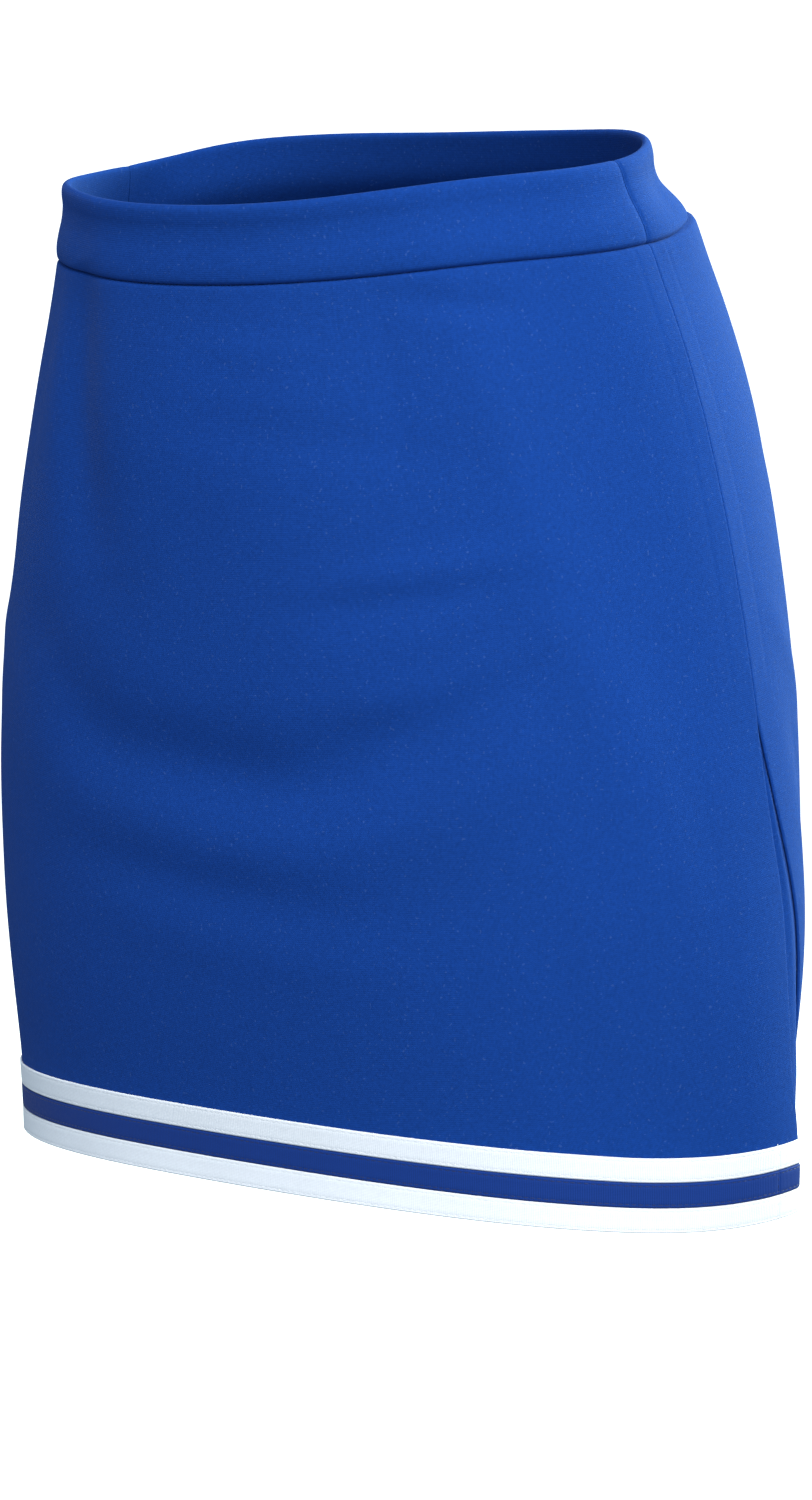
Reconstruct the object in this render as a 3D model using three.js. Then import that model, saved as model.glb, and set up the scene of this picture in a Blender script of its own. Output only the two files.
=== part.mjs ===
// Cheerleader's skirt in double-knit cloth, filled out as it is worn.
//
// A plain fitted A-line: a pull-on waistband, a front and a back panel seamed at the sides, a kick
// pleat with its own underlay low on the wearer's left, and three rows of braid round the hem.
//
// Millimetres. +Z is up, the front faces -Y and the wearer's left is +X. The origin is on the axis
// of the waist, level with the top of the waistband at centre front.
//
// Every point of the cloth is given by two numbers:
//   share  0 at the waist edge, 1 at the hem
//   turn   degrees round the body: 0 centre front, 90 the wearer's left side, 180 centre back

import * as THREE from "three";

// Lengths
const SKIRT_LENGTH = 388; // waist edge to hem at centre front
const BAND_HEIGHT = 30;
const BACK_RISE = 26; // the waist sits this much higher at centre back than at centre front
const WAIST_SWELL = 8; // the waist edge climbs early on its way round to the side...
const WAIST_SETTLE = 7; // ...and levels off there
const SIDE_DROP = 10; // the hem hangs this much lower at the sides

// Girths. At five levels: the half width, how far the cloth stands in front of the origin and
// behind it, and how far back its widest line lies.
const RINGS = [
  { share: 0, side: 125, front: 101, back: 86, setback: 1 }, // waist, 702 round
  { share: 0.22, side: 153, front: 99, back: 129, setback: 12 }, // high hip, 856 round
  { share: 0.5, side: 179, front: 105, back: 122, setback: 12 }, // hip, 946 round
  { share: 0.75, side: 188, front: 95, back: 103, setback: 14 }, // below the hip, 937 round
  { share: 1, side: 186, front: 91, back: 97, setback: 18 }, // hem, 920 round
];
const ROUNDNESS = 2.2; // exponent of the rings: 2 is an ellipse, more is squarer
const SIDE_TURN = 90; // the side seams run down the widest line

// Thicknesses
const CLOTH = 1.5;
const BAND_WALL = 3.2; // two layers of cloth round the elastic
const BRAID_THICK = 0.8;
const SEAM_GAP = 0.3; // between any two pieces

// Kick pleat on the wearer's left
const PLEAT_TOP = 0.52; // the side seam is left open from this share of the length down
const PLEAT_OPEN = 28; // width of the opening at the hem
const FRONT_REACH = 4; // the front edge settles this far behind the side line...
const SETTLED = 0.72; // ...by this share of the length
const CORNER_REACH = 3; // ...and its corner at the hem swings this much further
const CORNER = [0.84, 0.94]; // between these levels
const FOLD_RADIUS = (2 * CLOTH + 0.6) / 2; // outside radius of a turned edge, 0.6 clear inside
const SEAM_TURNING = 10; // cloth turned in along the seam above the pleat
const PLEAT_TURNING = 34; // and down the edges of the pleat
const UNDERLAY_LAP = 16; // the underlay runs this far behind each edge
const UNDERLAY_SET = 2 * FOLD_RADIUS + 2 * SEAM_GAP + BRAID_THICK + 0.5; // and this deep
const UNDERLAY_TOP = 0.5;
const CORNER_KICK = 1.3; // the corner flicks out by this much too
const CORNER_WIDE = 22; // dying away over this distance from the edge
const BACK_TUCK = 9; // the back edge falls in behind the front one by this much at the hem...
const BACK_TUCK_TOP = 0.7; // ...from this level down
const BACK_TUCK_WIDE = 52; // ...and over this distance from the edge

// Hem braid
const BRAID_ROWS = [
  { name: "upper", colour: "white" },
  { name: "middle", colour: "blue" },
  { name: "hem", colour: "white" },
];
const BRAID_ROW_HEIGHT = 10;
const BRAID_OVERHANG = 0.5; // the last row hides the cut edge of the cloth

// Largest soft folds: the line they follow as [turn, share] points, half width and rise in mm
const FOLDS = [
  // across the front, from the hip bone down under the belly and up again, and the swell below it
  { wide: 19, rise: -5.8, line: [[-32, 0.45], [-19, 0.54], [-6, 0.563], [10, 0.57], [25, 0.53], [52, 0.4]] },
  { wide: 17, rise: 2.2, line: [[-32, 0.58], [-6, 0.622], [10, 0.635], [26, 0.605], [42, 0.55]] },
  // the belly above, and the thighs that push the cloth forward below
  { wide: 50, rise: 6.6, line: [[-46, 0.19], [-4, 0.205], [32, 0.19]] },
  { wide: 56, rise: 5, line: [[-62, 0.8], [0, 0.83], [50, 0.8]] },
  // the turn from the front to the side, and the flat of the hip behind it
  { wide: 17, rise: 3, line: [[44, 0.06], [51, 0.3], [55, 0.42], [63, 0.6], [64, 0.78], [57, 0.92]] },
  { wide: 32, rise: -2.6, line: [[68, 0.06], [68, 0.22], [71, 0.4], [77, 0.56], [80, 0.7]] },
  { wide: 28, rise: -1.6, line: [[27, 0.04], [26, 0.16], [27, 0.34], [30, 0.44]] },
  // down from the band on the wearer's right, and in from that side
  { wide: 16, rise: -5.2, line: [[-33, 0.06], [-29, 0.15], [-25, 0.25], [-18, 0.38]] },
  { wide: 15, rise: -1.8, line: [[-88, 0.29], [-72, 0.36], [-54, 0.41]] },
  // below the seat, and across the small of the back
  { wide: 18, rise: -3.4, line: [[142, 0.48], [165, 0.55], [182, 0.565], [200, 0.55], [222, 0.47]] },
  { wide: 13, rise: -2.2, line: [[154, 0.12], [180, 0.145], [206, 0.12]] },
];
const MM_PER_TURN = 2.5; // one degree round the hip
const BACK_EASE = 1.2; // fullness of the back panel where it is eased into the band
const BACK_EASE_DEPTH = 0.03; // dies away over this share of the length
const BAND_HOLLOW = 5; // the band's elastic draws in between its edges at the back

// Facets
const PANEL_COLUMNS = 30;
const PANEL_ROWS = 18;
const FOLD_STEPS = 3;
const TURNING_STEPS = 2;
const UNDERLAY_COLUMNS = 6;
const UNDERLAY_ROWS = 9;
const BAND_COLUMNS = 34;

const COLOURS = { cloth: 0x1a479f, white: 0xe9eefc, blue: 0x1b3b86 };

const radians = THREE.MathUtils.degToRad;
const smooth = THREE.MathUtils.smoothstep;
const mix = THREE.MathUtils.lerp;

// ---- The form ----

// The ring at any level, on the smooth curves through the five that are given.
function ringAt(share) {
  const ring = { side: 0, front: 0, back: 0, setback: 0 };
  for (const row of RINGS) {
    const others = RINGS.filter((other) => other !== row);
    const weight = others.reduce(
      (product, other) => (product * (share - other.share)) / (row.share - other.share),
      1,
    );
    for (const key of Object.keys(ring)) {
      ring[key] += weight * row[key];
    }
  }
  return ring;
}

const bent = (value) => Math.sign(value) * Math.abs(value) ** (2 / ROUNDNESS);

function waistHeight(turn) {
  const s = Math.sin(radians(turn));
  const c = Math.cos(radians(turn));
  return (BACK_RISE * (1 - c)) / 2 + WAIST_SWELL * s ** 2 - WAIST_SETTLE * s ** 6;
}

const hemHeight = (turn) => -SKIRT_LENGTH - SIDE_DROP * Math.sin(radians(turn)) ** 2;

const BAND_SHARE = BAND_HEIGHT / SKIRT_LENGTH;
const lengthAt = (turn) => waistHeight(turn) - hemHeight(turn);

// Share of the length at a height in mm above the hem.
const aboveHem = (height, turn) => 1 - height / lengthAt(turn);

function formPoint(share, turn) {
  const ring = ringAt(share);
  const c = Math.cos(radians(turn));
  const depth = c > 0 ? ring.front + ring.setback : ring.back - ring.setback;
  return new THREE.Vector3(
    ring.side * bent(Math.sin(radians(turn))),
    ring.setback - depth * bent(c),
    mix(waistHeight(turn), hemHeight(turn), share),
  );
}

// Directions at a point of the form: round the body, and straight out of the cloth.
function formFrame(share, turn) {
  const step = { share: 0.004, turn: 0.5 };
  const round = formPoint(share, turn + step.turn).sub(formPoint(share, turn - step.turn));
  const up = formPoint(share - step.share, turn).sub(formPoint(share + step.share, turn));
  const out = round.clone().cross(up).normalize();
  return { round: round.normalize(), out };
}

// The turn of the point that lies so many mm behind the widest line, on the wearer's left.
function turnBehind(share, behind) {
  const ring = ringAt(share);
  const depth = behind < 0 ? ring.front + ring.setback : ring.back - ring.setback;
  const c = (Math.abs(behind) / depth) ** (ROUNDNESS / 2);
  return SIDE_TURN + (Math.sign(behind) * Math.asin(c) * 180) / Math.PI;
}

// ---- How the cloth departs from the form ----

// How far a point lies from a fold's line, and how far along the line that is, from 0 to 1.
function nearestOnLine(line, turn, share) {
  const here = new THREE.Vector2(turn * MM_PER_TURN, share * SKIRT_LENGTH);
  const points = line.map(([t, s]) => new THREE.Vector2(t * MM_PER_TURN, s * SKIRT_LENGTH));
  let nearest = { distance: Infinity, along: 0 };
  for (let i = 1; i < points.length; i += 1) {
    const run = points[i].clone().sub(points[i - 1]);
    const part = here.clone().sub(points[i - 1]).dot(run) / run.lengthSq();
    const t = THREE.MathUtils.clamp(part, 0, 1);
    const distance = points[i - 1].clone().addScaledVector(run, t).distanceTo(here);
    if (distance < nearest.distance) nearest = { distance, along: (i - 1 + t) / (points.length - 1) };
  }
  return nearest;
}

const bell = (distance, width) => Math.exp(-((distance / width) ** 2));

// A fold fades to nothing at both of its ends.
function foldRise(share, turn) {
  return FOLDS.reduce((total, { wide, rise, line }) => {
    const { distance, along } = nearestOnLine(line, turn, share);
    const fade = Math.sin(Math.PI * THREE.MathUtils.clamp(along, 0.03, 0.97)) ** 0.6;
    return total + rise * fade * bell(distance, wide);
  }, 0);
}

// How far down the open pleat a level is, from 0 at its top to 1 at the hem.
const pleatDepth = (share) => Math.max(0, (share - PLEAT_TOP) / (1 - PLEAT_TOP));

// Where the two edges lie, in mm behind the side line.
function frontEdge(share) {
  const settled = FRONT_REACH * smooth(share, PLEAT_TOP, SETTLED);
  return settled + CORNER_REACH * smooth(share, ...CORNER) - SEAM_GAP / 2;
}

const backEdge = (share) => frontEdge(share) + SEAM_GAP + PLEAT_OPEN * pleatDepth(share);

// The front corner flicks out, and the back edge falls in behind it.
function frontLift(share, turn) {
  const distance = (turnBehind(share, frontEdge(share)) - turn) * MM_PER_TURN;
  return CORNER_KICK * smooth(share, ...CORNER) * bell(distance, CORNER_WIDE);
}

function backLift(share, turn) {
  const distance = (turn - turnBehind(share, backEdge(share))) * MM_PER_TURN;
  const tuck = -BACK_TUCK * smooth(share, BACK_TUCK_TOP, 1) * bell(distance, BACK_TUCK_WIDE);
  return tuck + BACK_EASE * atBack(turn) * bell(share - BAND_SHARE, BACK_EASE_DEPTH);
}

// 0 in front of the side seams, rising to 1 behind them.
function atBack(turn) {
  const fade = 20;
  return smooth(turn, SIDE_TURN, SIDE_TURN + fade) * smooth(360 - SIDE_TURN - turn, 0, fade);
}

const bandLift = (share, turn) =>
  -BAND_HOLLOW * atBack(turn) * bell(share - BAND_SHARE / 2, BAND_SHARE / 2.5);

// A point of the cloth's outer face, moved out of the form by lift.
function clothPoint(share, turn, lift) {
  const { round, out } = formFrame(share, turn);
  const point = formPoint(share, turn).addScaledVector(out, foldRise(share, turn) + lift);
  return { point, out, round };
}

// ---- Walls ----

// Closes a grid of face points into a wall. Rows run down, columns run round with the turn.
function wallGeometry(rows, thickness) {
  const height = rows.length;
  const width = rows[0].length;
  const corners = [];
  for (const depth of [0, thickness]) {
    for (const { point, out } of rows.flat()) {
      corners.push(...point.clone().addScaledVector(out, -depth).toArray());
    }
  }
  const face = (row, column) => row * width + column;
  const back = (row, column) => height * width + face(row, column);
  const index = [];
  const quad = (a, b, c, d) => index.push(a, b, c, a, c, d);
  for (let row = 0; row < height - 1; row += 1) {
    for (let column = 0; column < width - 1; column += 1) {
      const cell = [[row, column], [row + 1, column], [row + 1, column + 1], [row, column + 1]];
      quad(...cell.map((at) => face(...at)));
      quad(...[0, 3, 2, 1].map((k) => back(...cell[k])));
    }
  }
  const edge = (from, to) => quad(face(...from), face(...to), back(...to), back(...from));
  for (let column = 0; column < width - 1; column += 1) {
    edge([0, column], [0, column + 1]);
    edge([height - 1, column + 1], [height - 1, column]);
  }
  for (let row = 0; row < height - 1; row += 1) {
    edge([row + 1, 0], [row, 0]);
    edge([row, width - 1], [row + 1, width - 1]);
  }
  const geometry = new THREE.BufferGeometry();
  geometry.setAttribute("position", new THREE.Float32BufferAttribute(corners, 3));
  geometry.setIndex(index);
  geometry.computeVertexNormals();
  return geometry;
}

const skirt = new THREE.Group();

function addPiece(name, geometry, colour, roughness) {
  const material = new THREE.MeshStandardMaterial({ color: colour, roughness, metalness: 0 });
  const mesh = new THREE.Mesh(geometry, material);
  mesh.name = name;
  skirt.add(mesh);
}

// ---- Front and back panels ----

// Levels of a panel's rows: evenly from the band to the braid, then at the edges of its rows.
function panelShares(turn) {
  const seam = BAND_SHARE + SEAM_GAP / SKIRT_LENGTH;
  const braidTop = aboveHem(BRAID_ROWS.length * BRAID_ROW_HEIGHT, turn);
  const shares = [];
  for (let row = 0; row <= PANEL_ROWS; row += 1) {
    shares.push(mix(seam, braidTop, row / PANEL_ROWS));
  }
  for (let row = BRAID_ROWS.length - 1; row >= 0; row -= 1) {
    const overhang = row === 0 ? BRAID_OVERHANG : 0;
    shares.push(aboveHem(row * BRAID_ROW_HEIGHT + overhang, turn));
  }
  return shares;
}

// One row of a panel: its face from seam to seam, then on the wearer's left its folded edge and
// the turning inside. The back panel is worked from its left edge too, then put in order.
function panelRow(panel, level) {
  const shareAt = (turn) => panelShares(turn)[level];
  const share = shareAt(SIDE_TURN);
  const { edge, toEdge, lift, farTurn } = panel;
  const edgeFrame = formFrame(share, turnBehind(share, edge(share)));
  const slope = edgeFrame.round.y;
  const foldAt = edge(share) - toEdge * FOLD_RADIUS * slope;
  const foldTurn = turnBehind(share, foldAt);
  const at = (turn) => clothPoint(shareAt(turn), turn, lift(shareAt(turn), turn));
  const row = [];
  for (let column = 0; column <= PANEL_COLUMNS; column += 1) {
    row.push(at(mix(farTurn, foldTurn, column / PANEL_COLUMNS)));
  }
  const start = at(foldTurn);
  for (let step = 1; step < FOLD_STEPS; step += 1) {
    const angle = (Math.PI * step) / FOLD_STEPS;
    const out = start.out.clone().multiplyScalar(Math.cos(angle));
    out.addScaledVector(start.round, toEdge * Math.sin(angle));
    const centre = start.point.clone().addScaledVector(start.out, -FOLD_RADIUS);
    row.push({ point: centre.addScaledVector(out, FOLD_RADIUS), out });
  }
  const turning = mix(SEAM_TURNING, PLEAT_TURNING, smooth(share, PLEAT_TOP - 0.04, PLEAT_TOP));
  for (let step = 0; step <= TURNING_STEPS; step += 1) {
    const behind = foldAt - (toEdge * slope * turning * step) / TURNING_STEPS;
    const inside = at(turnBehind(share, behind));
    inside.point.addScaledVector(inside.out, -2 * FOLD_RADIUS);
    row.push({ point: inside.point, out: inside.out.clone().negate() });
  }
  return toEdge > 0 ? row : row.reverse();
}

const HALF_GAP_TURN = 0.05; // turn that leaves half a seam gap on the widest line

const PANELS = {
  front: { edge: frontEdge, toEdge: 1, lift: frontLift, farTurn: HALF_GAP_TURN - SIDE_TURN },
  back: { edge: backEdge, toEdge: -1, lift: backLift, farTurn: 360 - SIDE_TURN - HALF_GAP_TURN },
};

const panelLevels = [...Array(PANEL_ROWS + 1 + BRAID_ROWS.length).keys()];

for (const [side, panel] of Object.entries(PANELS)) {
  panel.rows = panelLevels.map((level) => panelRow(panel, level));
  addPiece(side + "_panel", wallGeometry(panel.rows, CLOTH), COLOURS.cloth, 0.8);
}

// ---- Underlay of the pleat ----

function underlayRow(share) {
  const from = frontEdge(share) - UNDERLAY_LAP;
  const to = backEdge(share) + UNDERLAY_LAP;
  const row = [];
  for (let column = 0; column <= UNDERLAY_COLUMNS; column += 1) {
    const behind = mix(from, to, column / UNDERLAY_COLUMNS);
    const turn = turnBehind(share, behind);
    const across = smooth(behind, frontEdge(share), backEdge(share));
    const lift = mix(frontLift(share, turn), backLift(share, turn), across);
    row.push(clothPoint(share, turn, lift - UNDERLAY_SET));
  }
  return row;
}

function underlayShares() {
  const shares = panelShares(SIDE_TURN).slice(-BRAID_ROWS.length - 1);
  const above = [...Array(UNDERLAY_ROWS).keys()];
  return [...above.map((row) => mix(UNDERLAY_TOP, shares[0], row / UNDERLAY_ROWS)), ...shares];
}

const underlayRows = underlayShares().map(underlayRow);
addPiece("pleat_underlay", wallGeometry(underlayRows, CLOTH), COLOURS.cloth, 0.8);

// ---- Hem braid ----

// One row of braid, laid on two neighbouring rows of a panel and moved out of them.
function braidGeometry(above, below, isHem) {
  const trim = SEAM_GAP / 2 / BRAID_ROW_HEIGHT;
  const reach = isHem ? 1 + BRAID_OVERHANG / BRAID_ROW_HEIGHT : 1 - trim;
  const edges = [trim, reach].map((along) =>
    above.map((top, column) => {
      const bottom = below[column];
      const out = top.out.clone().lerp(bottom.out, along).normalize();
      const point = top.point.clone().lerp(bottom.point, along);
      return { point: point.addScaledVector(out, SEAM_GAP + BRAID_THICK), out };
    }),
  );
  return wallGeometry(edges, BRAID_THICK);
}

// The braid is turned under at the edges of the pleat, where the turning inside hides its end.
const visible = {
  front: (row) => row.slice(0, row.length - TURNING_STEPS - 1),
  back: (row) => row.slice(TURNING_STEPS + 1),
  pleat: (row) => row,
};
const backings = { front: PANELS.front.rows, back: PANELS.back.rows, pleat: underlayRows };

for (const [side, rows] of Object.entries(backings)) {
  const levels = rows.slice(-BRAID_ROWS.length - 1).map(visible[side]);
  BRAID_ROWS.forEach(({ name, colour }, i) => {
    const isHem = i === BRAID_ROWS.length - 1;
    const geometry = braidGeometry(levels[i], levels[i + 1], isHem);
    addPiece(`braid_${name}_${side}`, geometry, COLOURS[colour], 0.7);
  });
}

// ---- Waistband ----

// Section of the band: [height as a share of the band, distance out of the form], from the seam
// up the outside, over the rolled top edge and down the inside.
const BAND_SECTION = [
  [0, -0.5],
  [0.08, 0.5],
  [0.3, 1],
  [0.65, 0.8],
  [0.92, 0.4],
  [1, -0.5 * BAND_WALL],
  [0.92, -BAND_WALL],
  [0.5, -BAND_WALL],
  [0.08, -BAND_WALL],
  [0, -BAND_WALL + 0.5],
];

// Sweeps the section round from one side seam to the other and closes both ends.
function bandGeometry(fromTurn, toTurn) {
  const count = BAND_SECTION.length;
  const corners = [];
  const index = [];
  for (let column = 0; column <= BAND_COLUMNS; column += 1) {
    const turn = mix(fromTurn, toTurn, column / BAND_COLUMNS);
    for (const [height, outwards] of BAND_SECTION) {
      const share = BAND_SHARE * (1 - height);
      const { point, out } = clothPoint(share, turn, bandLift(share, turn));
      corners.push(...point.addScaledVector(out, outwards).toArray());
    }
  }
  for (let column = 0; column < BAND_COLUMNS; column += 1) {
    for (let k = 0; k < count; k += 1) {
      const [low, high] = [column * count + k, column * count + ((k + 1) % count)];
      index.push(low, low + count, high + count, low, high + count, high);
    }
  }
  const last = BAND_COLUMNS * count;
  for (let k = 1; k < count - 1; k += 1) {
    index.push(0, k, k + 1);
    index.push(last, last + k + 1, last + k);
  }
  const geometry = new THREE.BufferGeometry();
  geometry.setAttribute("position", new THREE.Float32BufferAttribute(corners, 3));
  geometry.setIndex(index);
  geometry.computeVertexNormals();
  return geometry;
}

for (const side of ["front", "back"]) {
  const centre = side === "front" ? 0 : 180;
  const reach = SIDE_TURN - HALF_GAP_TURN;
  const geometry = bandGeometry(centre - reach, centre + reach);
  addPiece("waistband_" + side, geometry, COLOURS.cloth, 0.8);
}

export default skirt;
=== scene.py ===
# %% [markdown]
# # Cheerleader's skirt
#
# A short, fitted skirt in royal-blue double knit, standing as if it were worn: a pull-on waistband,
# a front and a back panel, a kick pleat with its own underlay low on the wearer's left, and three
# rows of knitted braid round the hem.
#
# Each is replaced here by a finer piece with the same shape. The work goes: the form under the
# cloth, the soft folds, the seams, the finishes, the pieces one by one, the stitches, and last the
# studio.

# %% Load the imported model
import math

import bpy
import numpy as np
from mathutils import Matrix, Vector


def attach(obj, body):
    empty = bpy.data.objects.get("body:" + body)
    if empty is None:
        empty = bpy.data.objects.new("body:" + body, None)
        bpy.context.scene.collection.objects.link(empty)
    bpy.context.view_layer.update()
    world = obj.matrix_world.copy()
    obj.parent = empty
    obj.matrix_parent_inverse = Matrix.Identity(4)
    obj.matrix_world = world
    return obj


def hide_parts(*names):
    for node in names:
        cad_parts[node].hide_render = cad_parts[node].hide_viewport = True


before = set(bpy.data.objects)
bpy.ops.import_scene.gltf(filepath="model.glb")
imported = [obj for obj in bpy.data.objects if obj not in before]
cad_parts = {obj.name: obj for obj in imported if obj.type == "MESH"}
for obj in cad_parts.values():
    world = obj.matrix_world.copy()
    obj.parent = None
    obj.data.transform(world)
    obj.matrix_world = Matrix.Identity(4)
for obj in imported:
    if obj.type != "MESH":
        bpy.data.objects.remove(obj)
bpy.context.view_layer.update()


def rounded(box):
    return [[round(x, 4) for x in corner] for corner in box]


# %% [markdown]
# ## The form
#
# A worn skirt takes the shape of the waist, belly, hips and seat, so it is neither a cone nor a
# tube. It could be sculpted, or a flat pattern could be sewn and dropped on a figure by simulation.
# A rule is used instead: five rings give the girth at five levels, smooth curves run through them,
# and any point of the cloth then has two numbers. *Share* is 0 at the waist edge and 1 at the hem.
# *Turn* is in degrees round the body: 0 centre front, 90 the wearer's left side, 180 centre back.
# Work is in millimetres, and meshes are made in metres.

# %% Sizes of the garment, in millimetres
MM = 0.001
SKIRT_LENGTH = 388
BAND_HEIGHT = 30
BACK_RISE = 26  # the waist is this much higher at centre back
WAIST_SWELL, WAIST_SETTLE = 8, 7  # it climbs early on its way round, then levels off
SIDE_DROP = 10  # the hem is this much lower at the sides
RINGS = [  # share, half width, reach in front, reach behind, how far back the widest line lies
    (0.00, 125, 101, 86, 1),
    (0.22, 153, 99, 129, 12),
    (0.50, 179, 105, 122, 12),
    (0.75, 188, 95, 103, 14),
    (1.00, 186, 91, 97, 18),
]
ROUNDNESS = 2.2  # exponent of the rings
BAND_SHARE = BAND_HEIGHT / SKIRT_LENGTH
CLOTH = 1.5
SEAM_GAP = 0.3


# %% Rings, heights and points of the form
def smooth(x, low, high):
    t = np.clip((x - low) / (high - low), 0, 1)
    return t * t * (3 - 2 * t)


def mix(a, b, t):
    return a + (b - a) * t


def bell(distance, width):
    return np.exp(-((distance / width) ** 2))


def ring_at(share):
    """Half width, front, back and setback at any level, on smooth curves through the rings."""
    total = 0
    for i, row in enumerate(RINGS):
        weight = 1.0
        for j, other in enumerate(RINGS):
            if i != j:
                weight = weight * (share - other[0]) / (row[0] - other[0])
        total = total + np.multiply.outer(np.array(row[1:], float), weight)
    return total


def bent(v):
    return np.sign(v) * np.abs(v) ** (2 / ROUNDNESS)


def waist_height(turn):
    s, c = np.sin(np.radians(turn)), np.cos(np.radians(turn))
    return BACK_RISE * (1 - c) / 2 + WAIST_SWELL * s**2 - WAIST_SETTLE * s**6


def hem_height(turn):
    return -SKIRT_LENGTH - SIDE_DROP * np.sin(np.radians(turn)) ** 2


def above_hem(height, turn):
    """Share of the length at a height in mm above the hem."""
    return 1 - height / (waist_height(turn) - hem_height(turn))


def form_point(share, turn):
    side, front, back, setback = ring_at(share)
    c = np.cos(np.radians(turn))
    depth = np.where(c > 0, front + setback, back - setback)
    x = side * bent(np.sin(np.radians(turn)))
    return np.stack([x, setback - depth * bent(c), mix(waist_height(turn), hem_height(turn), share)], -1)


def unit(v):
    return v / np.linalg.norm(v, axis=-1, keepdims=True)


def form_frame(share, turn):
    """Directions round the body and straight out of the cloth."""
    round_ = form_point(share, turn + 0.5) - form_point(share, turn - 0.5)
    up = form_point(share - 0.004, turn) - form_point(share + 0.004, turn)
    return unit(round_), unit(np.cross(round_, up))


def turn_behind(share, behind):
    """Turn of the point so many mm behind the widest line, on the wearer's left."""
    side, front, back, setback = ring_at(share)
    depth = np.where(behind < 0, front + setback, back - setback)
    c = (np.abs(behind) / depth) ** (ROUNDNESS / 2)
    return 90 + np.sign(behind) * np.degrees(np.arcsin(c))


turns = np.linspace(0, 360, 721)
for level in (0, BAND_SHARE, 0.22, 0.5, 0.75, 1):
    loop = form_point(np.full(turns.shape, level), turns)
    print(f"girth at {level:.2f}: {np.linalg.norm(np.diff(loop, axis=0), axis=1).sum():.0f} mm")

# %% [markdown]
# ## Soft folds
#
# Stretch knit over a body has hardly any hard creases. It shows long shallow troughs where it is
# pulled between two high points, such as the belly and the hip, and low ridges between them. A
# cloth simulation would put these where it likes, so each one is drawn: a line of [turn, share]
# points, a half width and a rise in millimetres. A smooth curve is run through the points and the
# rise fades towards both of its ends. The hidden sides get folds of the same kind and size.

# %% The folds
FOLDS = [
    # across the front from the hip bone, under the belly and up again, and the swell below it
    (19, -5.8, [(-32, 0.45), (-19, 0.54), (-6, 0.563), (10, 0.57), (25, 0.53), (37, 0.475), (52, 0.4)]),
    (17, 2.2, [(-32, 0.58), (-6, 0.622), (10, 0.635), (26, 0.605), (42, 0.55)]),
    (12, 0.9, [(-24, 0.715), (-3, 0.743), (10, 0.752), (28, 0.755)]),
    (11, -1.4, [(-26, 0.66), (-4, 0.684), (20, 0.695)]),
    # the belly above, and the thighs that push the cloth forward below it
    (50, 6.6, [(-46, 0.19), (-4, 0.205), (32, 0.19)]),
    (56, 5.0, [(-62, 0.8), (0, 0.83), (50, 0.8)]),
    # the turn from the front to the side, and the flat of the hip behind it
    (17, 3.0, [(44, 0.06), (46, 0.16), (51, 0.3), (55, 0.42), (63, 0.6), (64, 0.78), (57, 0.92)]),
    (32, -2.6, [(68, 0.06), (68, 0.22), (71, 0.4), (77, 0.56), (80, 0.7)]),
    # down from the band on the wearer's right, and in from that side
    (28, -1.6, [(27, 0.04), (26, 0.16), (27, 0.34), (30, 0.44)]),
    (16, -5.2, [(-33, 0.06), (-29, 0.15), (-25, 0.25), (-18, 0.38)]),
    (15, -1.8, [(-88, 0.29), (-72, 0.36), (-54, 0.41)]),
    (9, 0.8, [(-86, 0.36), (-70, 0.43), (-54, 0.46)]),
    (10, -0.8, [(-86, 0.5), (-72, 0.545), (-58, 0.55)]),
    # drag lines below the band and short folds over the front of the hip
    (5, -1.6, [(32, 0.1), (43, 0.112), (56, 0.122)]),
    (6, 0.8, [(0, 0.14), (9, 0.146), (19, 0.142)]),
    (7, 1.4, [(14, 0.375), (30, 0.362), (50, 0.345)]),
    (7, -1.2, [(14, 0.400), (30, 0.387), (46, 0.373)]),
    (8, 1.5, [(17, 0.495), (32, 0.472), (52, 0.415)]),
    (10, -1.2, [(-6, 0.215), (20, 0.235), (40, 0.255)]),
    # the back panel beside the pleat and above it
    (8, 1.0, [(97, 0.42), (106, 0.475), (114, 0.545)]),
    (9, -1.1, [(100, 0.52), (108, 0.6), (112, 0.69)]),
    # below the seat, across the small of the back, and down over the seat
    (18, -3.4, [(142, 0.48), (165, 0.55), (182, 0.565), (200, 0.55), (222, 0.47)]),
    (15, 1.7, [(150, 0.63), (180, 0.655), (210, 0.62)]),
    (13, -2.2, [(154, 0.12), (180, 0.145), (206, 0.12)]),
    (8, -1.0, [(160, 0.185), (178, 0.2), (196, 0.19)]),
    (7, 0.9, [(220, 0.3), (236, 0.34), (252, 0.35)]),
    (8, -1.0, [(118, 0.3), (132, 0.35), (144, 0.42)]),
    (9, -1.0, [(232, 0.46), (244, 0.5), (258, 0.5)]),
]
MM_PER_TURN = 2.5  # one degree round the hip


def through(points, steps=8):
    """A smooth curve through points, by Catmull and Rom's rule."""
    p = np.array(points, float)
    p = np.concatenate([[2 * p[0] - p[1]], p, [2 * p[-1] - p[-2]]])
    out = []
    for a, b, c, d in zip(p, p[1:], p[2:], p[3:]):
        for t in np.arange(steps) / steps:
            bend = (2 * a - 5 * b + 4 * c - d) * t**2
            twist = (3 * b - a - 3 * c + d) * t**3
            out.append((2 * b + (c - a) * t + bend + twist) / 2)
    return np.array(out + [p[-2]])


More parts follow.
